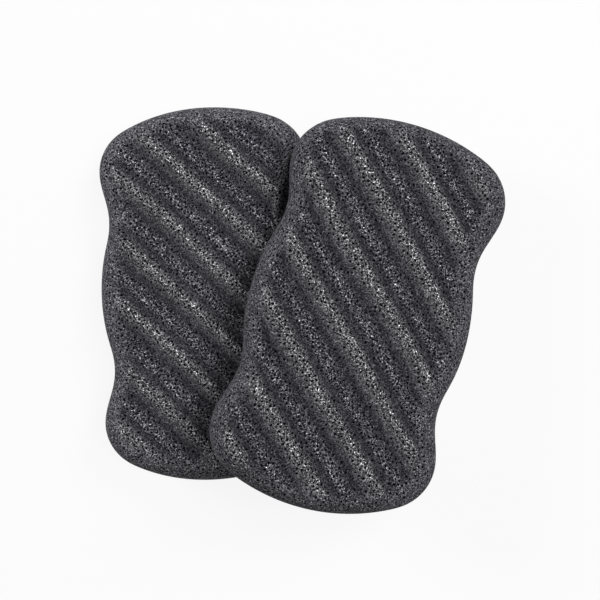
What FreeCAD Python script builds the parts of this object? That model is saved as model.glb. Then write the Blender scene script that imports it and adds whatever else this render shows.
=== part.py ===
import FreeCAD, Part
import math
import os

import Sketcher

# A pair of sponges of one shape: the lower one lies flat with its long side along Y, and the upper one
# leans on the lower one's right rim, with its own right rim on the table. Millimetres, +Z up,
# with the origin in the middle of the lower sponge's underside.
SIZES = {
    # Outline seen from above: how far each lobe reaches sideways, and where its centre lies lengthwise
    "far_right_reach": 41.2,
    "far_right_station": 48.3,
    "far_left_reach": 38.8,
    "far_left_station": 46.9,
    "near_left_reach": 41.2,
    "near_left_station": 47.8,
    "near_right_reach": 41.2,
    "near_right_station": 46.3,
    "middle_reach": 40.0,
    "corner_radius": 17.8,
    "middle_radius": 68.8,
    "waist_radius": 27.2,
    "end_radius": 74.0,
    # Thickness at the crests of the ridges, and the roundings of the rim and the base. The base is rounded
    # less where that would leave too little of the straight side or too sharp a corner underneath
    "thickness": 25.0,
    "trim_allowance": 0.4,
    "rim_rounding": 9.0,
    "base_rounding": 14.5,
    "least_straight_side": 0.5,
    "least_base_corner": 1.5,
    # Diagonal ridges: a broad and a narrow one by turns, the narrow one lower. Their first crest lies
    # elsewhere on each sponge, as on pieces cut from one ridged sheet
    "ridge_angle": 46.0,
    "ridge_period": 17.5,
    "lower_first_ridge": 12.7,
    "upper_first_ridge": 7.5,
    "narrow_ridge_step": 6.9,
    "narrow_ridge_drop": 0.7,
    "broad_crest_radius": 4.0,
    "narrow_crest_radius": 3.2,
    "steep_valley_radius": 1.8,
    "gentle_valley_radius": 5.0,
    # Where the upper sponge leans
    "upper_shift_right": 54.9,
    "upper_shift_down": 9.2,
    "upper_turn": 18.35,
    "seat_clearance": 0.3,
    "seat_tolerance": 0.05,
    # How far a cut goes past the solid
    "overrun": 2.0,
}

# The tilt at which the upper sponge seats lies between these angles, in degrees
LEAST_TILT, MOST_TILT = 0.0, 45.0
TILT_HALVINGS = 40

# How far the base is rounded: as named, or as far as the side and the corners allow
BASE_ROUNDING_RULE = ("min(sizes.base_rounding; sizes.corner_radius - sizes.least_base_corner; sizes.thickness"
                      " + sizes.trim_allowance - sizes.rim_rounding - sizes.least_straight_side)")

# A sketch's root point, the vertices of a drawn edge, and the sketch's horizontal axis
ROOT = (-1, 1)
START, END, CENTRE = 1, 2, 3
HORIZONTAL_AXIS = -1

document = FreeCAD.newDocument("sponge_pair")
sheet = document.addObject("Spreadsheet::Sheet", "sizes")
for row, (name, value) in enumerate(SIZES.items(), start=1):
    sheet.set(f"A{row}", name)
    sheet.set(f"B{row}", str(value))
    sheet.setAlias(f"B{row}", name)
document.recompute()
size = {name: float(sheet.get(name)) for name in SIZES}


class Round:
    """One arc of a chain of tangent arcs. It turns left (1) or right (-1) along the chain, and
    rules for x and y place its centre, unless its two neighbours do."""

    def __init__(self, centre, radius, turn, rules=None):
        self.centre = centre
        self.radius = size[radius]
        self.radius_rule = f"sizes.{radius}"
        self.turn = turn
        self.rules = rules


def round_between(one, other, radius, turn, side):
    """An arc tangent to two others, its centre right (1) or left (-1) of the way between theirs."""
    sign = -1 if turn == one.turn else 1
    spans = [size[radius] + sign * end.radius for end in (one, other)]
    along = other.centre - one.centre
    distance = along.Length
    along.normalize()
    forward = (spans[0] ** 2 - spans[1] ** 2 + distance ** 2) / (2 * distance)
    sideways = math.sqrt(spans[0] ** 2 - forward ** 2)
    across = FreeCAD.Vector(along.y, -along.x, 0)
    return Round(one.centre + along * forward + across * (side * sideways), radius, turn)


def touch_point(one, other):
    """Where two neighbouring arcs meet, on the line through their centres."""
    if one.turn == other.turn and one.radius < other.radius:
        one, other = other, one
    towards = other.centre - one.centre
    towards.normalize()
    return one.centre + towards * one.radius


def bind(sketch, constraint, rule):
    """Adds a constraint whose value follows the sheet."""
    number = sketch.addConstraint(constraint)
    sketch.setExpression(f"Constraints[{number}]", rule)


def place_vertex(sketch, vertex, kind, value, rule):
    """Holds a vertex at a distance from the root point, taken in the direction that keeps it positive."""
    if rule == "0":
        sketch.addConstraint(Sketcher.Constraint("PointOnObject", *vertex, HORIZONTAL_AXIS))
    elif value < 0:
        bind(sketch, Sketcher.Constraint(kind, *vertex, *ROOT, -value), f"-({rule})")
    else:
        bind(sketch, Sketcher.Constraint(kind, *ROOT, *vertex, value), rule)


def draw_arc(sketch, arc, first, last):
    """Draws one arc and returns its edge number with its first and last vertex along the chain."""
    begin, finish = [math.atan2(p.y - arc.centre.y, p.x - arc.centre.x) for p in (first, last)]
    if arc.turn < 0:
        begin, finish = finish, begin
    if finish < begin:
        finish += 2 * math.pi
    circle = Part.Circle(arc.centre, FreeCAD.Vector(0, 0, 1), arc.radius)
    edge = sketch.addGeometry(Part.ArcOfCircle(circle, begin, finish))
    bind(sketch, Sketcher.Constraint("Radius", edge, arc.radius), arc.radius_rule)
    if arc.rules:
        place_vertex(sketch, (edge, CENTRE), "DistanceX", arc.centre.x, arc.rules[0])
        place_vertex(sketch, (edge, CENTRE), "DistanceY", arc.centre.y, arc.rules[1])
    return (edge, START, END) if arc.turn > 0 else (edge, END, START)


def draw_chain(sketch, chain, first, last):
    """Draws a chain of tangent arcs from its first point to its last."""
    meetings = [touch_point(one, other) for one, other in zip(chain, chain[1:])]
    points = [first, *meetings, last]
    drawn = [draw_arc(sketch, arc, points[i], points[i + 1]) for i, arc in enumerate(chain)]
    for (edge, begin, finish), (after, after_begin, after_finish) in zip(drawn, drawn[1:]):
        sketch.addConstraint(Sketcher.Constraint("Tangent", edge, finish, after, after_begin))
    return drawn


def outline_lobes():
    """The six lobes, anticlockwise from the far right corner: far is +Y, right is +X."""
    lobes = []
    for name, right, up in (("far_right", 1, 1), ("far_left", -1, 1), ("middle", -1, 0),
                            ("near_left", -1, -1), ("near_right", 1, -1), ("middle", 1, 0)):
        radius = "corner_radius" if up else "middle_radius"
        x = right * (size[f"{name}_reach"] - size[radius])
        y = up * size[f"{name}_station"] if up else 0
        x_rule = f"{right} * (sizes.{name}_reach - sizes.{radius})"
        y_rule = f"{up} * sizes.{name}_station" if up else "0"
        lobes.append(Round(FreeCAD.Vector(x, y, 0), radius, 1, (x_rule, y_rule)))
    return lobes


def draw_outline(sketch):
    """Six lobes joined by a wide arc over each end and by hollow waists along the sides."""
    lobes = outline_lobes()
    chain = []
    for lobe, following in zip(lobes, lobes[1:] + lobes[:1]):
        over_an_end = lobe.radius_rule == following.radius_rule
        chain.append(lobe)
        if over_an_end:
            chain.append(round_between(lobe, following, "end_radius", 1, -1))
        else:
            chain.append(round_between(lobe, following, "waist_radius", -1, 1))
    seam = touch_point(chain[-1], chain[0])
    drawn = draw_chain(sketch, chain, seam, seam)
    edge, begin, finish = drawn[-1]
    sketch.addConstraint(Sketcher.Constraint("Tangent", edge, finish, drawn[0][0], drawn[0][1]))


def ridge_periods():
    """How many ridge periods reach past the outline, on either side of its middle."""
    angle = math.radians(size["ridge_angle"])
    across = FreeCAD.Vector(math.cos(angle), math.sin(angle), 0)
    half_span = max(abs(lobe.centre.dot(across)) + lobe.radius for lobe in outline_lobes())
    return math.ceil((half_span + size["overrun"]) / size["ridge_period"])


def draw_ridge_period(sketch, first, number):
    """The space above one period of ridges, seen along them: from the crest of a broad ridge down,
    over a narrow ridge and up to the crest of the next broad one, with straight sides and top."""
    crests = []
    for name, periods, narrow in (("broad", number, 0), ("narrow", number, 1), ("broad", number + 1, 0)):
        radius = f"{name}_crest_radius"
        x = size[first] + periods * size["ridge_period"] + narrow * size["narrow_ridge_step"]
        y = size["thickness"] - size[radius] - narrow * size["narrow_ridge_drop"]
        x_rule = f"sizes.{first} + {periods} * sizes.ridge_period + {narrow} * sizes.narrow_ridge_step"
        y_rule = f"sizes.thickness - sizes.{radius} - {narrow} * sizes.narrow_ridge_drop"
        crests.append(Round(FreeCAD.Vector(x, y, 0), radius, -1, (x_rule, y_rule)))
    left_crest, narrow_crest, right_crest = crests
    steep_valley = round_between(left_crest, narrow_crest, "steep_valley_radius", 1, -1)
    gentle_valley = round_between(narrow_crest, right_crest, "gentle_valley_radius", 1, -1)
    chain = [left_crest, steep_valley, narrow_crest, gentle_valley, right_crest]
    tops = [crest.centre + FreeCAD.Vector(0, crest.radius, 0) for crest in (left_crest, right_crest)]
    drawn = draw_chain(sketch, chain, *tops)

    ceiling = size["thickness"] + size["trim_allowance"] + size["overrun"]
    corners = [FreeCAD.Vector(top.x, ceiling, 0) for top in tops]
    left = sketch.addGeometry(Part.LineSegment(corners[0], tops[0]))
    lid = sketch.addGeometry(Part.LineSegment(corners[1], corners[0]))
    right = sketch.addGeometry(Part.LineSegment(tops[1], corners[1]))
    for one, other in (((left, END), drawn[0][:2]), ((drawn[-1][0], drawn[-1][2]), (right, START)),
                       ((right, END), (lid, START)), ((lid, END), (left, START))):
        sketch.addConstraint(Sketcher.Constraint("Coincident", *one, *other))
    sketch.addConstraint(Sketcher.Constraint("Horizontal", lid))
    for side, crest in ((left, drawn[0][0]), (right, drawn[-1][0])):
        sketch.addConstraint(Sketcher.Constraint("Vertical", side))
        sketch.addConstraint(Sketcher.Constraint("PointOnObject", crest, CENTRE, side))
    place_vertex(sketch, (lid, START), "DistanceY", ceiling,
                 "sizes.thickness + sizes.trim_allowance + sizes.overrun")


def new_sketch(body, name, role):
    """An empty sketch on one of the body's own planes."""
    sketch = body.newObject("Sketcher::SketchObject", f"{body.Label}_{name}")
    plane = next(part for part in body.Origin.OriginFeatures if part.Role == role)
    sketch.AttachmentSupport = [(plane, "")]
    sketch.MapMode = "FlatFace"
    return sketch


def round_face_edges(body, base, name, height, rule):
    """Rounds all the edges of the flat face of a feature at a given height."""
    document.recompute()
    faces = base.Shape.Faces
    near = min(range(len(faces)), key=lambda number: abs(faces[number].CenterOfMass.z - height))
    fillet = body.newObject("PartDesign::Fillet", f"{body.Label}_{name}")
    fillet.Base = (base, [f"Face{near + 1}"])
    fillet.setExpression("Radius", rule)
    return fillet


def make_sponge(label, first_ridge):
    """One sponge in its own place: a padded outline with round rims and a ridged upper face."""
    body = document.addObject("PartDesign::Body", label)
    body.Label = label

    outline = new_sketch(body, "outline", "XY_Plane")
    draw_outline(outline)
    block = body.newObject("PartDesign::Pad", f"{label}_block")
    block.Profile = outline
    block.setExpression("Length", "sizes.thickness + sizes.trim_allowance")
    top = size["thickness"] + size["trim_allowance"]
    upper_rim = round_face_edges(body, block, "upper_rim", top, "sizes.rim_rounding")
    rounded = round_face_edges(body, upper_rim, "base_rim", 0, BASE_ROUNDING_RULE)

    ridges = new_sketch(body, "ridges", "XZ_Plane")
    turn = FreeCAD.Rotation(FreeCAD.Vector(0, 1, 0), size["ridge_angle"])
    ridges.AttachmentOffset = FreeCAD.Placement(FreeCAD.Vector(), turn)
    ridges.setExpression("AttachmentOffset.Rotation.Angle", "sizes.ridge_angle * 1 deg")
    periods = ridge_periods()
    draw_ridge_period(ridges, first_ridge, -periods - 1)
    channel = body.newObject("PartDesign::Pocket", f"{label}_channel")
    channel.Profile = ridges
    channel.SideType = "Symmetric"
    channel.Type = "ThroughAll"
    face = body.newObject("PartDesign::LinearPattern", f"{label}_face")
    face.Originals = [channel]
    face.Direction = (ridges, ["H_Axis"])
    face.Occurrences = 2 * periods + 2
    face.setExpression("Length", f"{2 * periods + 1} * sizes.ridge_period")
    body.Tip = face
    document.recompute()
    if not face.Shape.Volume < rounded.Shape.Volume:
        raise RuntimeError(f"the ridges of {label} cut nothing")
    return body


def leaning_place(carrier, sponge):
    """Where a sponge leans on the one that carries it: tilted until its lowest edge is on the table
    and its flat underside just clears its carrier."""
    points = carrier.tessellate(size["seat_tolerance"])[0]
    turn = FreeCAD.Rotation(FreeCAD.Vector(0, 0, 1), -size["upper_turn"])
    turned = [turn.multVec(point) for point in sponge.tessellate(size["seat_tolerance"])[0]]

    def base_height(sine, cosine):
        return max(point.x * sine - point.z * cosine for point in turned)

    def gap(tilt):
        sine, cosine = math.sin(math.radians(tilt)), math.cos(math.radians(tilt))
        highest = max(point.x * sine + point.z * cosine for point in points)
        return size["upper_shift_right"] * sine + base_height(sine, cosine) * cosine - highest

    low, high = LEAST_TILT, MOST_TILT
    for halving in range(TILT_HALVINGS):
        tilt = (low + high) / 2
        low, high = (tilt, high) if gap(tilt) < size["seat_clearance"] else (low, tilt)
    height = base_height(math.sin(math.radians(high)), math.cos(math.radians(high)))
    place = FreeCAD.Vector(size["upper_shift_right"], -size["upper_shift_down"], height)
    print(f"tilt {high:.3f} degrees, base centre {place.x:.3f} {place.y:.3f} {place.z:.3f} mm")
    return FreeCAD.Placement(place, FreeCAD.Rotation(FreeCAD.Vector(0, 1, 0), high) * turn)


lower = make_sponge("lower_sponge", "lower_first_ridge")
upper = make_sponge("upper_sponge", "upper_first_ridge")
upper.Placement = leaning_place(lower.Shape, upper.Shape)
document.recompute()

for item in document.Objects:
    if "Invalid" in item.State or "Error" in item.State:
        raise RuntimeError(f"{item.Label} failed: {item.State}")
os.makedirs("parts", exist_ok=True)
for body in (lower, upper):
    if body.Shape.isNull() or not body.Shape.isValid() or len(body.Shape.Solids) != 1:
        raise RuntimeError(f"{body.Label} is not one valid solid")
    box = body.Shape.BoundBox
    print(f"{body.Label}: {box.XLength:.2f} x {box.YLength:.2f} x {box.ZLength:.2f} mm")
    body.Shape.exportStep(f"parts/{body.Label}.step")
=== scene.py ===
import math

import bpy
import numpy as np
from mathutils import Matrix, Vector
from mathutils.geometry import delaunay_2d_cdt
from mathutils.kdtree import KDTree


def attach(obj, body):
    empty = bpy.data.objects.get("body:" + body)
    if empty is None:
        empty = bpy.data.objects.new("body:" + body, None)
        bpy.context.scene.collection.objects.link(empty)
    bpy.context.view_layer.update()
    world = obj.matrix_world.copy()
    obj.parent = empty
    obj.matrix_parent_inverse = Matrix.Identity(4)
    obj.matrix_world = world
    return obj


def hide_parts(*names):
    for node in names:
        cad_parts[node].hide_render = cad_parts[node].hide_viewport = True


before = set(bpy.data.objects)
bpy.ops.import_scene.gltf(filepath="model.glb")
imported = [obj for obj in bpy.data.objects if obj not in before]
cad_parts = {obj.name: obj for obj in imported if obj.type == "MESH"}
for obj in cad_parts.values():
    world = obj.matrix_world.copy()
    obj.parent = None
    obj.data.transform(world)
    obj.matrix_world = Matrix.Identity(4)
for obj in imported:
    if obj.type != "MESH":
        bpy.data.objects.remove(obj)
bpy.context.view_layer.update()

# Two charcoal konjac sponges of one kind, one lying flat and one leaning on it. The mesh code works
# in millimetres in a sponge's own frame: long side along Y, origin in the middle of the underside,
# +Z out of the ridged face.
MM = 0.001

# Sizes of a sponge, what cutting the ridges takes off its top, and the lengths over the rim's
# rounding and down the side with the rounding of the base
THICKNESS = 25.0
TRIM = 0.4
RIM_ROUNDING = 9.0
BASE_ROUNDING = 14.5
WALL_TOP = THICKNESS + TRIM - RIM_ROUNDING
RIM_ARC = RIM_ROUNDING * math.pi / 2
WALL_ARC = WALL_TOP - BASE_ROUNDING + BASE_ROUNDING * math.pi / 2

# Diagonal ridges: a broad and a narrow one by turns, the narrow one lower
RIDGE_ANGLE = math.radians(46.0)
RIDGE_PERIOD = 17.5
LOWER_FIRST_RIDGE = 12.7
UPPER_FIRST_RIDGE = 7.5
NARROW_STEP = 6.9
NARROW_DROP = 0.7
BROAD_CREST_RADIUS = 4.0
NARROW_CREST_RADIUS = 3.2
STEEP_VALLEY_RADIUS = 1.8
GENTLE_VALLEY_RADIUS = 5.0

# Where the ridges begin and end to fade, in distance over the rim, how softly they meet it, and how
# much further they reach on each sponge: to the right, to the far end and all round
RIDGE_FADE = (0.5, 6.0)
FADE_SOFTNESS = 0.9
LOWER_REACH = np.array((1.25, 1.05, -1.35))
UPPER_REACH = np.array((-3.2, 0.0, -0.2))

# Wandering of the ridges along X and along Y: how far it goes, and how fast it varies
WANDER_SIZES = (0.3, 0.25)
WANDER_RATES = (0.11, 0.13)

# Slow unevenness of the whole sponge: number of waves, how fast they vary, and the height of each
UNEVEN_WAVES = 10
UNEVEN_RATE = 0.09
UNEVEN_HEIGHT = 0.045

# Where the upper sponge leans; its tilt is read from its CAD node
UPPER_SHIFT = (54.9, -9.2)
UPPER_TURN = math.radians(18.35)

# Pores of three sizes: least and most radius, tries per square millimetre, and the share of the
# tries that stand where the foam is dense; where it is open all do
PORES = ((0.48, 0.66, 0.6, 0.02), (0.34, 0.48, 1.2, 0.10), (0.23, 0.34, 1.8, 0.30))

# The foam left between two pores and at the border of a patch, and the depth of a pore by its radius
PORE_WALL = 0.10
PORE_MARGIN = 0.25
PORE_DEPTH = (0.9, 1.4)

# The mouth of a pore: its number of points above a radius, their jitter, and its stretch
MOUTH_POINTS = ((0.36, 6), (0.24, 5), (0.0, 4))
MOUTH_JITTER = 0.18
MOUTH_STRETCH = (0.75, 1.33)

# Share of the tries that stand on the side and on the underside
WALL_PORES = 0.22
BASE_PORES = 0.14

# Across a broad ridge, a narrow one and their valleys, by distance from the broad crest: the grey of
# the foam, and how open it is, from dense to full of pores. The grey is partly the foam's own, paler
# on its dry, open crests, and partly painted: painted shade darkens both valleys and painted light
# brightens the gentle flank that rises to each broad crest
RIDGE_LOOKS_AND_PAINTED_LIGHT = ((0.0, 0.083, 0.86), (1.8, 0.058, 0.78), (2.8, 0.038, 0.20), (4.2, 0.0295, 0.0),
               (5.2, 0.0365, 0.25), (6.2, 0.041, 0.95), (7.8, 0.0415, 1.0), (9.0, 0.0345, 0.80),
               (10.6, 0.0315, 0.32), (11.8, 0.023, 0.06), (12.8, 0.036, 0.03), (13.8, 0.058, 0.05),
               (14.8, 0.073, 0.14), (16.6, 0.068, 0.70))

# Grey and openness of the rim, grey of the side, and how far down the side the rim's look reaches.
# The rim is painted lighter on the lower sponge as painted light and darker on the upper one as
# painted shade; the side's darker grey is painted shade
LOWER_RIM_LIT_TONE = 0.067
UPPER_RIM_SHADED_TONE = 0.057
RIM_OPENNESS = 0.25
SIDE_SHADE_TONE = 0.024
SIDE_DEPTH = 4.0

# How far from the broad crest the foam is dry, and where it is damp
DRY_REACH = (1.5, 4.0)

# Mesh: points round a border, strips of the side, and spacing of the filling points in each patch
RING_POINTS = 480
STRIPS = 3
FACE_SPACING = 1.0
WALL_SPACING = 1.5
BASE_SPACING = 1.8

# Filling points: height of a row by its spacing, jitter, and what they leave to pores and borders
ROW_HEIGHT = math.sqrt(0.75)
FILL_JITTER = 0.22
FILL_GAP = 0.34
FILL_MARGIN = 0.3

# The shared outline: its samples, how many waves of it are kept, and how near its points lie to the
# height that it is read at
OUTLINE_SAMPLES = 4096
OUTLINE_WAVES = 40
OUTLINE_TOLERANCE = 0.02

# Triangulation: the kind that fills the whole hull, and lengths and areas that count as nothing
HULL_TRIANGLES = 0
NOTHING = 1e-7

# The bake map: its side and the gap between its patches
MAP_SIDE = 246.0
MAP_GAP = 3.0


# Shapes in the plane

def node_arrays(name):
    """A CAD node's points and its triangles."""
    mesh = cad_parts[name].data
    mesh.calc_loop_triangles()
    points = np.empty(len(mesh.vertices) * 3)
    mesh.vertices.foreach_get("co", points)
    triangles = np.empty(len(mesh.loop_triangles) * 3, dtype=int)
    mesh.loop_triangles.foreach_get("vertices", triangles)
    return points.reshape(-1, 3) / MM, triangles.reshape(-1, 3)


def corners_of(points, triangles):
    """The first, second and third corners of triangles."""
    return (points[triangles[:, k]] for k in range(3))


def at_height(flat, height):
    """Points of the plane raised to a height."""
    return np.column_stack([flat, np.full(len(flat), height)])


class Outline:
    """A closed curve in the plane, evenly sampled, with outward normals."""

    def __init__(self, points):
        ahead = np.roll(points, -1, 0)
        length = np.concatenate([[0], np.cumsum(np.linalg.norm(ahead - points, axis=1))])
        self.length = length[-1]
        self.count = len(points)
        even = np.arange(self.count) * self.length / self.count
        closed = np.vstack([points, points[:1]])
        self.points = np.stack([np.interp(even, length, closed[:, k]) for k in (0, 1)], 1)
        along = np.roll(self.points, -1, 0) - np.roll(self.points, 1, 0)
        along /= np.linalg.norm(along, axis=1)[:, None]
        self.normals = np.stack([along[:, 1], -along[:, 0]], 1)
        self.tree = KDTree(self.count)
        for number, (x, y) in enumerate(self.points):
            self.tree.insert((x, y, 0), number)
        self.tree.balance()

    def grown(self, distance):
        """The outline moved outwards, or inwards where the distance is negative."""
        return Outline(self.points + self.normals * distance)

    def at(self, lengths):
        """Points and normals at lengths along the curve."""
        place = np.asarray(lengths) / self.length * self.count
        low = np.floor(place).astype(int)
        part = (place - low)[:, None]
        first = low % self.count
        second = (low + 1) % self.count
        normals = self.normals[first] * (1 - part) + self.normals[second] * part
        return self.points[first] * (1 - part) + self.points[second] * part, normals

    def nearest(self, points):
        """Nearest point on the curve, its normal, and the distance outside it (negative inside)."""
        found = np.array([self.tree.find((x, y, 0))[1] for x, y in points])
        normals = self.normals[found]
        away = points - self.points[found]
        distance = (away * normals).sum(1)
        return points - normals * distance[:, None], normals, distance


def sponge_outline():
    """The outline that both sponges share, from the lower CAD node where its side meets its base."""
    points, _ = node_arrays("lower_sponge")
    ring = points[np.abs(points[:, 2] - BASE_ROUNDING) < OUTLINE_TOLERANCE][:, :2]
    angles = np.arctan2(ring[:, 1], ring[:, 0])
    order = np.argsort(angles)
    even = np.linspace(-math.pi, math.pi, OUTLINE_SAMPLES, endpoint=False)
    radius = np.interp(even, angles[order], np.linalg.norm(ring[order], axis=1), period=2 * math.pi)
    waves = np.fft.rfft(radius)
    waves *= np.exp(-(np.arange(len(waves)) / OUTLINE_WAVES) ** 2)
    radius = np.fft.irfft(waves, OUTLINE_SAMPLES)
    return Outline(np.stack([radius * np.cos(even), radius * np.sin(even)], 1))


# Ridges

def arc_between(one, other, radius):
    """The hollow arc that touches two crest arcs from above; each is a centre and a radius."""
    x0, z0, r0 = one
    x1, z1, r1 = other
    a = r0 + radius
    b = r1 + radius
    dx = x1 - x0
    dz = z1 - z0
    d = math.hypot(dx, dz)
    forward = (a * a - b * b + d * d) / (2 * d)
    side = math.sqrt(a * a - forward * forward)
    return x0 + (dx * forward - dz * side) / d, z0 + (dz * forward + dx * side) / d, radius


def ridge_heights(across):
    """Height of the ridged face over its broad crests, at distances across the ridges from one."""
    broad = (0.0, -BROAD_CREST_RADIUS, BROAD_CREST_RADIUS)
    narrow = (NARROW_STEP, -NARROW_DROP - NARROW_CREST_RADIUS, NARROW_CREST_RADIUS)
    following = (RIDGE_PERIOD, -BROAD_CREST_RADIUS, BROAD_CREST_RADIUS)
    steep = arc_between(broad, narrow, STEEP_VALLEY_RADIUS)
    gentle = arc_between(narrow, following, GENTLE_VALLEY_RADIUS)
    arcs = ((broad, 1), (steep, -1), (narrow, 1), (gentle, -1), (following, 1))
    place = np.mod(across, RIDGE_PERIOD)
    height = np.zeros_like(place)
    start = 0.0
    for number, ((x, z, r), sign) in enumerate(arcs):
        if number + 1 < len(arcs):
            (x1, _, r1), _ = arcs[number + 1]
            end = x + (x1 - x) * r / (r + r1)
        else:
            end = RIDGE_PERIOD
        here = (place >= start) & (place <= end)
        rise = np.sqrt(np.maximum(r * r - (place - x) ** 2, 0))
        height = np.where(here, z + sign * rise, height)
        start = end
    return height


def lower_of(one, other, softness):
    """The lower of two heights, with a soft change from one to the other."""
    mixed = np.clip(0.5 + (other - one) / (2 * softness), 0, 1)
    return other * (1 - mixed) + one * mixed - softness * mixed * (1 - mixed)


# Pores

class Scatter:
    """Discs that keep clear of each other, found by a grid of cells."""
    CELL = 1.5

    def __init__(self):
        self.cells = {}

    def add(self, x, y, radius, gap):
        """Adds a disc if it keeps the gap from all others, and says whether it did."""
        column = int(x // self.CELL)
        row = int(y // self.CELL)
        for i in (column - 1, column, column + 1):
            for j in (row - 1, row, row + 1):
                for other_x, other_y, other in self.cells.get((i, j), ()):
                    if (x - other_x) ** 2 + (y - other_y) ** 2 < (radius + other + gap) ** 2:
                        return False
        self.cells.setdefault((column, row), []).append((x, y, radius))
        return True


def pore_points(rng, x, y, radius):
    """A pore's middle and the points round its mouth, which is never quite round."""
    count = next(number for least, number in MOUTH_POINTS if radius > least)
    turn = rng.uniform(0, 2 * math.pi)
    jitter = rng.uniform(-MOUTH_JITTER, MOUTH_JITTER, count)
    angles = turn + (np.arange(count) + jitter) * 2 * math.pi / count
    stretch = rng.uniform(*MOUTH_STRETCH)
    ring = np.stack([np.cos(angles) * stretch, np.sin(angles) / stretch], 1)
    lean = rng.uniform(0, math.pi)
    c = math.cos(lean)
    s = math.sin(lean)
    ring = ring @ np.array([[c, s], [-s, c]]) * radius
    return np.vstack([[0.0, 0.0], ring]) + (x, y)


def scatter_patch(rng, low, high, inside, density, spacing, fixed):
    """Points of a patch in its own plane: pores large and small, then filling points between them.
    Returns the points, their depths, and 1 for those on the lip of a pore."""
    scatter = Scatter()
    for x, y in fixed:
        scatter.add(x, y, 0, 0)
    span = np.subtract(high, low)
    points = []
    depths = []
    lips = []
    for least, most, rate, dense_share in PORES:
        count = int(span[0] * span[1] * rate)
        tries = rng.uniform(0, 1, (count, 2)) * span + low
        sizes = rng.uniform(least, most, count)
        keep = rng.uniform(0, 1, count) < density(tries, dense_share)
        keep &= inside(tries, most + PORE_MARGIN)
        for (x, y), radius in zip(tries[keep], sizes[keep]):
            if scatter.add(x, y, radius, PORE_WALL):
                made = pore_points(rng, x, y, radius)
                points.append(made)
                depths.append([radius * rng.uniform(*PORE_DEPTH)] + [0.0] * (len(made) - 1))
                lips.append([0.0] + [1.0] * (len(made) - 1))
    rows = np.arange(low[1], high[1], spacing * ROW_HEIGHT)
    columns = np.arange(low[0], high[0], spacing)
    grid = np.stack(np.meshgrid(columns, rows), -1)
    grid[1::2, :, 0] += spacing / 2
    grid = grid.reshape(-1, 2)
    grid = grid + rng.uniform(-FILL_JITTER, FILL_JITTER, grid.shape) * spacing
    for x, y in grid[inside(grid, FILL_MARGIN)]:
        if scatter.add(x, y, 0, FILL_GAP):
            points.append([(x, y)])
            depths.append([0.0])
            lips.append([0.0])
    return np.vstack(points), np.concatenate(depths), np.concatenate(lips)


def triangles_of(points, edges=(), keep=None):
    """Triangles over points in the plane, holding the given edges, kept by their middles."""
    made = delaunay_2d_cdt([Vector(p) for p in points], edges, [], HULL_TRIANGLES, NOTHING)
    if len(made[0]) != len(points):
        raise RuntimeError("the triangulation changed the points")
    triangles = np.array(made[2])
    a, b, c = corners_of(points, triangles)
    area = (b[:, 0] - a[:, 0]) * (c[:, 1] - a[:, 1]) - (b[:, 1] - a[:, 1]) * (c[:, 0] - a[:, 0])
    kept = np.abs(area) > NOTHING
    if keep:
        kept &= keep((a + b + c) / 3)
    return triangles[kept]


# One sponge

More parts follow.
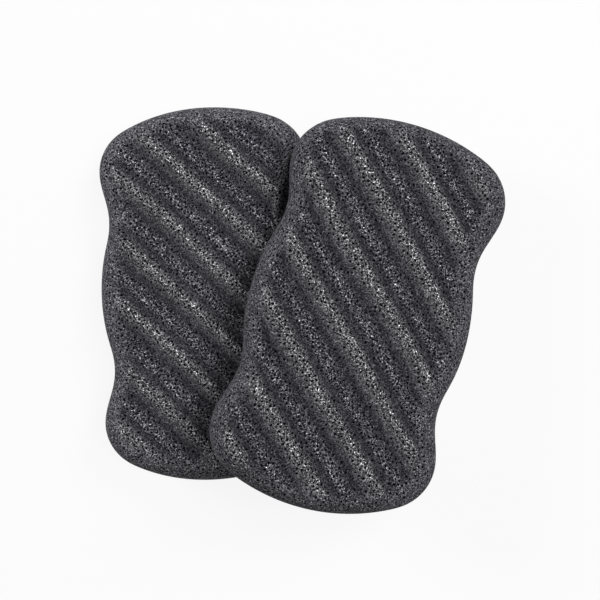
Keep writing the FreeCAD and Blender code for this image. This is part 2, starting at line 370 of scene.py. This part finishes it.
class Sponge:
    """One closed mesh, gathered from patches that share the points of their borders."""

    def __init__(self, seed, first_ridge, ridge_reach, rim_tone_with_painted_light):
        self.rng = np.random.default_rng(seed)
        self.first_ridge = first_ridge
        self.ridge_reach = ridge_reach
        self.rim_tone_with_painted_light = rim_tone_with_painted_light
        self.outline = sponge_outline()
        self.inner = self.outline.grown(-RIM_ROUNDING)
        self.foot = self.outline.grown(-BASE_ROUNDING)
        self.waves = self.rng.normal(0, UNEVEN_RATE, (UNEVEN_WAVES, 2))
        self.phases = self.rng.uniform(0, 2 * math.pi, UNEVEN_WAVES)
        self.points = []
        self.faces = []
        self.maps = []
        self.count = 0
        border, normals = self.outline.at(np.arange(RING_POINTS) * self.outline.length / RING_POINTS)
        self.face_border = border + normals * (RIM_ARC - RIM_ROUNDING)
        self.foot_border = border - normals * BASE_ROUNDING
        self.upper_ring = self.add_points(at_height(border, WALL_TOP), rim_tone_with_painted_light)
        self.lower_ring = self.add_points(at_height(self.foot_border, 0.0), SIDE_SHADE_TONE)
        self.loop = [(k, (k + 1) % RING_POINTS) for k in range(RING_POINTS)]
        self.add_face()
        self.add_wall()
        self.add_underside()

    def add_points(self, places, tone_and_painted_light, depth=0.0, lip=0.0, openness=RIM_OPENNESS, dry=0.0):
        """Adds points, each with its place and five values, and returns their numbers."""
        number = len(places)
        values = [np.broadcast_to(value, number) for value in (tone_and_painted_light, depth, lip, openness, dry)]
        self.points.append(np.column_stack([places, *values]))
        self.count += number
        return np.arange(self.count - number, self.count)

    def add_faces(self, numbers, triangles, flat_map):
        """Adds triangles of a patch's points, with their places on the bake map."""
        self.faces.append(numbers[triangles])
        self.maps.append(flat_map[triangles])

    def face_looks(self, across, skin):
        """Grey, openness and dryness of the foam across the ridges, giving way to the rim's; the grey
        holds painted shade in the valleys and painted light on the gentle flanks.
        """
        places, tones_and_painted_light, opens = zip(*RIDGE_LOOKS_AND_PAINTED_LIGHT)
        tone_and_painted_light = np.interp(across, places, tones_and_painted_light, period=RIDGE_PERIOD)
        openness = np.interp(across, places, opens, period=RIDGE_PERIOD)
        dry = np.interp(np.minimum(across, RIDGE_PERIOD - across), DRY_REACH, (1, 0))
        tone_and_painted_light = tone_and_painted_light * (1 - skin) + self.rim_tone_with_painted_light * skin
        openness = openness * (1 - skin) + RIM_OPENNESS * skin
        return tone_and_painted_light, openness, dry * (1 - skin)

    def side_shaded_tones(self, depths):
        """Grey of the side at depths below the rim, darkening down it as painted shade."""
        return np.interp(depths, (0, SIDE_DEPTH), (self.rim_tone_with_painted_light, SIDE_SHADE_TONE))

    def unevenness(self, places):
        """Slow unevenness of the hand-sized shape, a sum of long waves."""
        return np.sin(places[:, :2] @ self.waves.T + self.phases).sum(1) * UNEVEN_HEIGHT

    def face_place(self, flat):
        """Where points of the unrolled face and rim lie, how far across the ridges they are, and how
        far the rim's skin has taken over there."""
        foot, normals, outside = self.inner.nearest(flat)
        turn = np.clip(outside, 0, RIM_ARC) / RIM_ROUNDING
        over = foot + normals * RIM_ROUNDING * np.sin(turn)[:, None]
        xy = np.where(outside[:, None] > 0, over, flat)
        z = WALL_TOP + RIM_ROUNDING * np.cos(turn)
        wander = WANDER_SIZES[0] * np.sin(xy[:, 0] * WANDER_RATES[0] + self.phases[0])
        wander = wander + WANDER_SIZES[1] * np.sin(xy[:, 1] * WANDER_RATES[1] + self.phases[1])
        across = xy[:, 0] * math.cos(RIDGE_ANGLE) + xy[:, 1] * math.sin(RIDGE_ANGLE)
        across = np.mod(across - self.first_ridge + wander, RIDGE_PERIOD)
        reach = normals @ self.ridge_reach[:2] + self.ridge_reach[2]
        fade = np.clip((RIDGE_FADE[1] + reach - outside) / (RIDGE_FADE[1] - RIDGE_FADE[0]), 0, 1)
        fade = fade * fade * (3 - 2 * fade)
        z = lower_of(z, THICKNESS + ridge_heights(across) * fade, FADE_SOFTNESS)
        return np.column_stack([xy, z]), across, 1 - fade

    def add_face(self):
        """The ridged face with its rim, unrolled flat as far as the side."""
        reach = np.abs(self.face_border).max(0)

        def on_face(points, margin):
            return self.inner.nearest(points)[2] < RIM_ARC - margin

        def density(points, dense_share):
            _, across, skin = self.face_place(points)
            _, openness, _ = self.face_looks(across, skin)
            return dense_share + (1 - dense_share) * openness

        flat, depth, lip = scatter_patch(self.rng, -reach, reach, on_face, density,
                                         FACE_SPACING, self.face_border)
        places, across, skin = self.face_place(flat)
        tone_and_painted_light, openness, dry = self.face_looks(across, skin)
        inside = self.add_points(places, tone_and_painted_light, depth, lip, openness, dry)
        flat = np.vstack([self.face_border, flat])
        triangles = triangles_of(flat, self.loop, lambda middles: on_face(middles, 0))
        self.add_faces(np.concatenate([self.upper_ring, inside]), triangles, flat + reach + MAP_GAP)
        self.map_right, self.map_top = 2 * reach + 2 * MAP_GAP

    def wall_place(self, flat):
        """Where points of the unrolled side lie: length along the outline, and how far down."""
        xy, normals = self.outline.at(flat[:, 0])
        turn = np.clip(flat[:, 1] - WALL_TOP + BASE_ROUNDING, 0, None) / BASE_ROUNDING
        xy = xy - normals * BASE_ROUNDING * (1 - np.cos(turn))[:, None]
        z = np.where(turn > 0, BASE_ROUNDING * (1 - np.sin(turn)), WALL_TOP - flat[:, 1])
        return np.column_stack([xy, z])

    def add_wall(self):
        """The side with the rounding of its base, in strips with a row of shared points between them."""
        wide = self.outline.length / STRIPS
        rows = int(WALL_ARC / WALL_SPACING)
        downs = np.arange(1, rows) * WALL_ARC / rows
        seams = []
        for strip in range(STRIPS):
            seam = self.wall_place(np.column_stack([np.full(rows - 1, strip * wide), downs]))
            seams.append(self.add_points(seam, self.side_shaded_tones(downs)))
        each = RING_POINTS // STRIPS
        columns = np.arange(each + 1)

        def density(points, dense_share):
            rim_share = dense_share + (1 - dense_share) * RIM_OPENNESS
            return np.interp(points[:, 1], (0, SIDE_DEPTH), (rim_share, WALL_PORES))

        for strip in range(STRIPS):
            low = np.array((strip * wide, 0))
            high = low + (wide, WALL_ARC)
            top = np.column_stack([low[0] + columns * wide / each, np.zeros(each + 1)])
            left = np.column_stack([np.full(rows - 1, low[0]), downs])
            edge = np.vstack([top, top + (0, WALL_ARC), left, left + (wide, 0)])

            def on_strip(points, margin):
                return np.minimum(points - low, high - points).min(1) > margin

            flat, depth, lip = scatter_patch(self.rng, low, high, on_strip, density, WALL_SPACING, edge)
            inside = self.add_points(self.wall_place(flat), self.side_shaded_tones(flat[:, 1]), depth, lip)
            ring = (strip * each + columns) % RING_POINTS
            numbers = np.concatenate([self.upper_ring[ring], self.lower_ring[ring], seams[strip],
                                      seams[(strip + 1) % STRIPS], inside])
            flat = np.vstack([edge, flat])
            shift = (MAP_GAP, self.map_top + strip * (WALL_ARC + MAP_GAP))
            self.add_faces(numbers, triangles_of(flat)[:, ::-1], flat - low + shift)

    def add_underside(self):
        """The flat underside, inside the rounding of the base."""
        reach = np.abs(self.foot_border).max(0)

        def on_underside(points, margin):
            return self.foot.nearest(points)[2] < -margin

        def density(points, dense_share):
            return np.full(len(points), BASE_PORES)

        flat, depth, lip = scatter_patch(self.rng, -reach, reach, on_underside, density,
                                         BASE_SPACING, self.foot_border)
        inside = self.add_points(at_height(flat, 0.0), SIDE_SHADE_TONE, depth, lip)
        flat = np.vstack([self.foot_border, flat])
        triangles = triangles_of(flat, self.loop, lambda middles: on_underside(middles, 0))[:, ::-1]
        shift = (self.map_right, MAP_GAP)
        self.add_faces(np.concatenate([self.lower_ring, inside]), triangles, flat + reach + shift)

    def make_piece(self, name, place):
        """The finished piece: pores sunk along the normals of the plain surface, and a map of its own."""
        points = np.vstack(self.points)
        places = points[:, :3]
        tone_and_painted_light, depth, lip, openness, dry = points[:, 3:].T
        faces = np.vstack(self.faces)
        a, b, c = corners_of(places, faces)
        normals = np.zeros_like(places)
        for k in range(3):
            np.add.at(normals, faces[:, k], np.cross(b - a, c - a))
        normals /= np.linalg.norm(normals, axis=1)[:, None]
        lift = self.unevenness(places) * np.clip(places[:, 2] / WALL_TOP, 0, 1)
        places = places + normals * (lift - depth)[:, None]

        mesh = bpy.data.meshes.new(name)
        mesh.vertices.add(len(places))
        mesh.loops.add(faces.size)
        mesh.polygons.add(len(faces))
        mesh.vertices.foreach_set("co", (places * MM).ravel())
        mesh.loops.foreach_set("vertex_index", faces.ravel())
        mesh.polygons.foreach_set("loop_start", np.arange(len(faces)) * 3)
        mesh.update(calc_edges=True)
        mesh.shade_smooth()
        bake_map = mesh.uv_layers.new(name="OFBake")
        bake_map.data.foreach_set("uv", (np.vstack(self.maps) / MAP_SIDE).ravel())
        looks = {"pore": depth > 0, "lip": lip, "tone_and_painted_light": tone_and_painted_light, "openness": openness, "dry": dry}
        for label, values in looks.items():
            layer = mesh.attributes.new(label, "FLOAT", "POINT")
            layer.data.foreach_set("value", values.astype(np.float32))
        mesh.transform(place)
        piece = bpy.data.objects.new(name, mesh)
        bpy.context.collection.objects.link(piece)
        return piece


def upper_place():
    """Where the upper sponge lies, from the flat underside of its CAD node."""
    points, triangles = node_arrays("upper_sponge")
    a, b, c = corners_of(points, triangles)
    normals = np.cross(b - a, c - a)
    areas = np.linalg.norm(normals, axis=1)
    facings = np.round(normals / areas[:, None], decimals=3)
    _, kinds = np.unique(facings, axis=0, return_inverse=True)
    kinds = kinds.ravel()
    flat = kinds == np.bincount(kinds, areas).argmax()
    down = normals[flat].sum(0)
    down /= np.linalg.norm(down)
    level = (points[triangles[flat].ravel()] @ down).mean()
    height = (level - down[:2] @ UPPER_SHIFT) / down[2]
    tilt = math.atan2(-down[0], -down[2])
    move = Matrix.Translation(Vector((*UPPER_SHIFT, height)) * MM)
    return move @ Matrix.Rotation(tilt, 4, "Y") @ Matrix.Rotation(-UPPER_TURN, 4, "Z")


# Material

# Tints of the grey, the bluish haze over all of it, the gain of a painted highlight on the lip of a pore,
# and the painted shade, near black, in its mouth with the two edges of the change to it
DRY_TINT = (0.995, 0.995, 1.025)
DAMP_TINT = (1.0, 0.99, 1.06)
HAZE = (0.0006, 0.0, 0.0035)
LIP_HIGHLIGHT_GAIN = (1.3, 1.3, 1.3)
PORE_SHADE_BLACK = (0.0022, 0.0018, 0.0040)
PORE_EDGES = (0.10, 0.22)
FOAM_ROUGHNESS = 0.9
FOAM_SPECULAR = 0.05

# Clouds, small cells and grain: how fine they are per metre, their level of detail, the value that
# changes nothing, how strongly they mark the foam, and the share of that where it is dense
CLOUD_SCALE = 150.0
CELL_SCALE = 820.0
GRAIN_SCALE = 2400.0
CLOUD_DETAIL = 2.0
GRAIN_DETAIL = 1.0
NOISE_MIDDLE = 0.5
CELL_MIDDLE = 0.47
CLOUD_CONTRAST = 0.8
CELL_CONTRAST = 2.2
GRAIN_CONTRAST = 10.8
DENSE_CONTRAST = 0.5

# Bumps of the cells and the grain, and how far the textures shift from one seed to the next
BUMP_HEIGHT = 0.3 * MM
CELL_BUMP = 0.6
GRAIN_BUMP = 0.4
SEED_SHIFT = (0.01, 0.02)

# Places of a Mix node's factor and colours, whose names repeat, and of its mixed colour
MIX_INPUTS = (0, 6, 7)
MIX_RESULT = 2


def node(tree, kind, values=None, **settings):
    """A shader node with its inputs set, or linked where the value is a socket."""
    made = tree.nodes.new(kind)
    for key, value in settings.items():
        setattr(made, key, value)
    for key, value in (values or {}).items():
        if isinstance(value, bpy.types.NodeSocket):
            tree.links.new(value, made.inputs[key])
        else:
            made.inputs[key].default_value = value
    return made


def empty_tree(owner):
    """The node tree of a material or world, with nothing in it."""
    owner.use_nodes = True
    owner.node_tree.nodes.clear()
    return owner.node_tree


def foam_material(name, offset):
    """Charcoal foam, by the looks that the mesh carries and textures too fine for the mesh."""
    material = bpy.data.materials.new(name)
    tree = empty_tree(material)
    output = node(tree, "ShaderNodeOutputMaterial")
    shader = node(tree, "ShaderNodeBsdfPrincipled",
                  {"Roughness": FOAM_ROUGHNESS, "Specular IOR Level": FOAM_SPECULAR})
    tree.links.new(shader.outputs["BSDF"], output.inputs["Surface"])

    def attribute(label):
        return node(tree, "ShaderNodeAttribute", attribute_name=label).outputs["Fac"]

    def mix(kind, factor, *colours):
        values = [c if isinstance(c, bpy.types.NodeSocket) else (*c, 1) for c in colours]
        made = node(tree, "ShaderNodeMix", data_type="RGBA", blend_type=kind,
                    values=dict(zip(MIX_INPUTS, (factor, *values))))
        return made.outputs[MIX_RESULT]

    def calculate(operation, *values):
        return node(tree, "ShaderNodeMath", dict(enumerate(values)), operation=operation).outputs[0]

    def swing(texture, middle, contrast):
        return calculate("MULTIPLY_ADD", texture, contrast, -middle * contrast)

    # Paler on the dry, open crests; darker in the valleys and down the side as painted shade, lighter on
    # the gentle flanks as painted light, and the rim painted lighter on the lower sponge and darker on
    # the upper
    body = mix("MIX", attribute("dry"), DAMP_TINT, DRY_TINT)
    body = mix("MULTIPLY", 1.0, body, attribute("tone_and_painted_light"))

    # Clouds, cells too small for the mesh and fine grain lighten or darken it, most on the crests
    place = node(tree, "ShaderNodeTexCoord").outputs["Object"]
    place = node(tree, "ShaderNodeMapping", {"Vector": place, "Location": offset}).outputs["Vector"]
    clouds = node(tree, "ShaderNodeTexNoise",
                  {"Vector": place, "Scale": CLOUD_SCALE, "Detail": CLOUD_DETAIL}).outputs["Fac"]
    cells = node(tree, "ShaderNodeTexVoronoi",
                 {"Vector": place, "Scale": CELL_SCALE}).outputs["Distance"]
    grain = node(tree, "ShaderNodeTexNoise",
                 {"Vector": place, "Scale": GRAIN_SCALE, "Detail": GRAIN_DETAIL}).outputs["Fac"]
    power = swing(clouds, NOISE_MIDDLE, CLOUD_CONTRAST)
    power = calculate("ADD", power, swing(cells, CELL_MIDDLE, CELL_CONTRAST))
    power = calculate("ADD", power, swing(grain, NOISE_MIDDLE, GRAIN_CONTRAST))
    contrast = calculate("MULTIPLY_ADD", attribute("openness"), 1 - DENSE_CONTRAST, DENSE_CONTRAST)
    gain = calculate("POWER", math.e, calculate("MULTIPLY", power, contrast))
    body = mix("ADD", 1.0, mix("MULTIPLY", 1.0, body, gain), HAZE)

    # Mouths of the pores: a painted highlight on the lip, then painted shade, near black
    body = mix("MULTIPLY", attribute("lip"), body, LIP_HIGHLIGHT_GAIN)
    mouth = node(tree, "ShaderNodeValToRGB", {"Fac": attribute("pore")})
    for element, edge in zip(mouth.color_ramp.elements, PORE_EDGES):
        element.position = edge
    body = mix("MIX", mouth.outputs["Color"], body, PORE_SHADE_BLACK)
    tree.links.new(body, shader.inputs["Base Color"])

    bump = node(tree, "ShaderNodeBump",
                {"Height": grain, "Distance": BUMP_HEIGHT, "Strength": GRAIN_BUMP})
    bump = node(tree, "ShaderNodeBump", {"Height": cells, "Distance": BUMP_HEIGHT,
                                         "Strength": CELL_BUMP, "Normal": bump.outputs["Normal"]})
    tree.links.new(bump.outputs["Normal"], shader.inputs["Normal"])
    return material


# The two sponges: body, seed, first ridge, reach of the ridges, grey of the rim (painted light on the
# lower one, painted shade on the upper one), and place
for body, seed, first_ridge, ridge_reach, rim_tone_with_painted_light, place in (
        ("lower", 11, LOWER_FIRST_RIDGE, LOWER_REACH, LOWER_RIM_LIT_TONE, Matrix.Identity(4)),
        ("upper", 23, UPPER_FIRST_RIDGE, UPPER_REACH, UPPER_RIM_SHADED_TONE, upper_place())):
    piece = Sponge(seed, first_ridge, ridge_reach, rim_tone_with_painted_light).make_piece(f"{body}_foam_block", place)
    offset = (SEED_SHIFT[0] * seed, SEED_SHIFT[1] * seed, 0.0)
    piece.data.materials.append(foam_material(f"{body}_charcoal_foam", offset))
    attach(piece, body)
    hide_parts(f"{body}_sponge")


# Floor, light and camera, in metres

# The floor: half its side, its grey, and how the share of plain white rises with distance
FLOOR_HALF = 3.0
FLOOR_GREY = 0.85
WHITE_DISTANCES = (0.15, 0.6)
WHITE_SHARES = (0.88, 1.0)
WHITE = (1.0, 1.0, 1.0, 1.0)

# Light of the world, and the lamps: name, degrees round from +X, degrees up, and level
WORLD_LEVEL = 0.04
LAMPS = (("high_right_lamp", 0, 62, 0.40), ("far_right_lamp", 35, 43, 0.48),
         ("low_left_lamp", 150, 28, 0.62))
LAMP_SIZE = 0.45
LAMP_DISTANCE = 1.2
LAMP_AIM = Vector((0.037, -0.004, 0.025))

# The camera: how far it leans to the right and to the far end from straight above, its roll, what it
# looks at, and its lens
CAMERA_RIGHT = math.radians(10.62)
CAMERA_FAR = math.radians(1.27)
CAMERA_ROLL = math.radians(2.48)
CAMERA_TARGET = Vector((37.48, -3.36, 20.0)) * MM
CAMERA_DISTANCE = 373.09 * MM
CAMERA_LENS = 61.0
CAMERA_SENSOR = 36.0
CAMERA_NEAR = 0.01


def background_rays(tree):
    """1 for the rays that see the background: the camera's own, mirrored and let through."""
    path = node(tree, "ShaderNodeLightPath")
    seen = path.outputs["Is Camera Ray"]
    for kind in ("Is Glossy Ray", "Is Transmission Ray"):
        either = node(tree, "ShaderNodeMath", {0: seen, 1: path.outputs[kind]}, operation="MAXIMUM")
        seen = either.outputs[0]
    return seen


def make_floor():
    """A pale floor that keeps the shadow of the sponges and is white further away."""
    mesh = bpy.data.meshes.new("floor")
    corners = [(x * FLOOR_HALF, y * FLOOR_HALF, 0) for x, y in ((-1, -1), (1, -1), (1, 1), (-1, 1))]
    mesh.from_pydata(corners, [], [(0, 1, 2, 3)])
    floor = bpy.data.objects.new("floor", mesh)
    bpy.context.collection.objects.link(floor)
    material = bpy.data.materials.new("pale_floor")
    tree = empty_tree(material)
    output = node(tree, "ShaderNodeOutputMaterial")
    diffuse = node(tree, "ShaderNodeBsdfDiffuse", {"Color": (FLOOR_GREY, FLOOR_GREY, FLOOR_GREY, 1)})
    glow = node(tree, "ShaderNodeEmission", {"Color": WHITE, "Strength": 1.0})
    place = node(tree, "ShaderNodeTexCoord").outputs["Object"]
    away = node(tree, "ShaderNodeVectorMath", {0: place}, operation="LENGTH").outputs["Value"]
    white = node(tree, "ShaderNodeMapRange", {
        "Value": away, "From Min": WHITE_DISTANCES[0], "From Max": WHITE_DISTANCES[1],
        "To Min": WHITE_SHARES[0], "To Max": WHITE_SHARES[1]})
    share = node(tree, "ShaderNodeMath", {0: background_rays(tree), 1: white.outputs[0]},
                 operation="MULTIPLY")
    mixed = node(tree, "ShaderNodeMixShader",
                 {0: share.outputs[0], 1: diffuse.outputs[0], 2: glow.outputs[0]})
    tree.links.new(mixed.outputs[0], output.inputs["Surface"])
    mesh.materials.append(material)


def make_world():
    """Faint light from all round, behind a white background."""
    world = bpy.data.worlds.new("studio")
    bpy.context.scene.world = world
    tree = empty_tree(world)
    output = node(tree, "ShaderNodeOutputWorld")
    soft = node(tree, "ShaderNodeBackground", {"Color": WHITE, "Strength": WORLD_LEVEL})
    white = node(tree, "ShaderNodeBackground", {"Color": WHITE, "Strength": 1.0})
    mixed = node(tree, "ShaderNodeMixShader",
                 {0: background_rays(tree), 1: soft.outputs[0], 2: white.outputs[0]})
    tree.links.new(mixed.outputs[0], output.inputs["Surface"])


def make_lamp(name, azimuth, elevation, level):
    """A round lamp that lights a face turned to it by level times that face's own colour."""
    a = math.radians(azimuth)
    e = math.radians(elevation)
    back = Vector((math.cos(a) * math.cos(e), math.sin(a) * math.cos(e), math.sin(e)))
    data = bpy.data.lights.new(name, "AREA")
    data.shape = "DISK"
    data.size = LAMP_SIZE
    data.energy = level * (math.pi * LAMP_DISTANCE) ** 2
    lamp = bpy.data.objects.new(name, data)
    bpy.context.collection.objects.link(lamp)
    lamp.location = LAMP_AIM + back * LAMP_DISTANCE
    lamp.rotation_mode = "QUATERNION"
    lamp.rotation_quaternion = (-back).to_track_quat("-Z", "Y")


def make_camera():
    """A camera nearly straight above, a little to the right."""
    back = Vector((math.tan(CAMERA_RIGHT), math.tan(CAMERA_FAR), 1)).normalized()
    right = Vector((math.sin(CAMERA_ROLL), math.cos(CAMERA_ROLL), 0)).cross(back).normalized()
    up = back.cross(right)
    data = bpy.data.cameras.new("camera")
    data.lens = CAMERA_LENS
    data.sensor_width = CAMERA_SENSOR
    data.clip_start = CAMERA_NEAR
    camera = bpy.data.objects.new("camera", data)
    bpy.context.collection.objects.link(camera)
    turn = Matrix((right, up, back)).transposed()
    camera.matrix_world = Matrix.Translation(CAMERA_TARGET + back * CAMERA_DISTANCE) @ turn.to_4x4()
    bpy.context.scene.camera = camera


make_floor()
make_world()
for lamp_values in LAMPS:
    make_lamp(*lamp_values)
make_camera()
bpy.context.scene.view_settings.view_transform = "Standard"
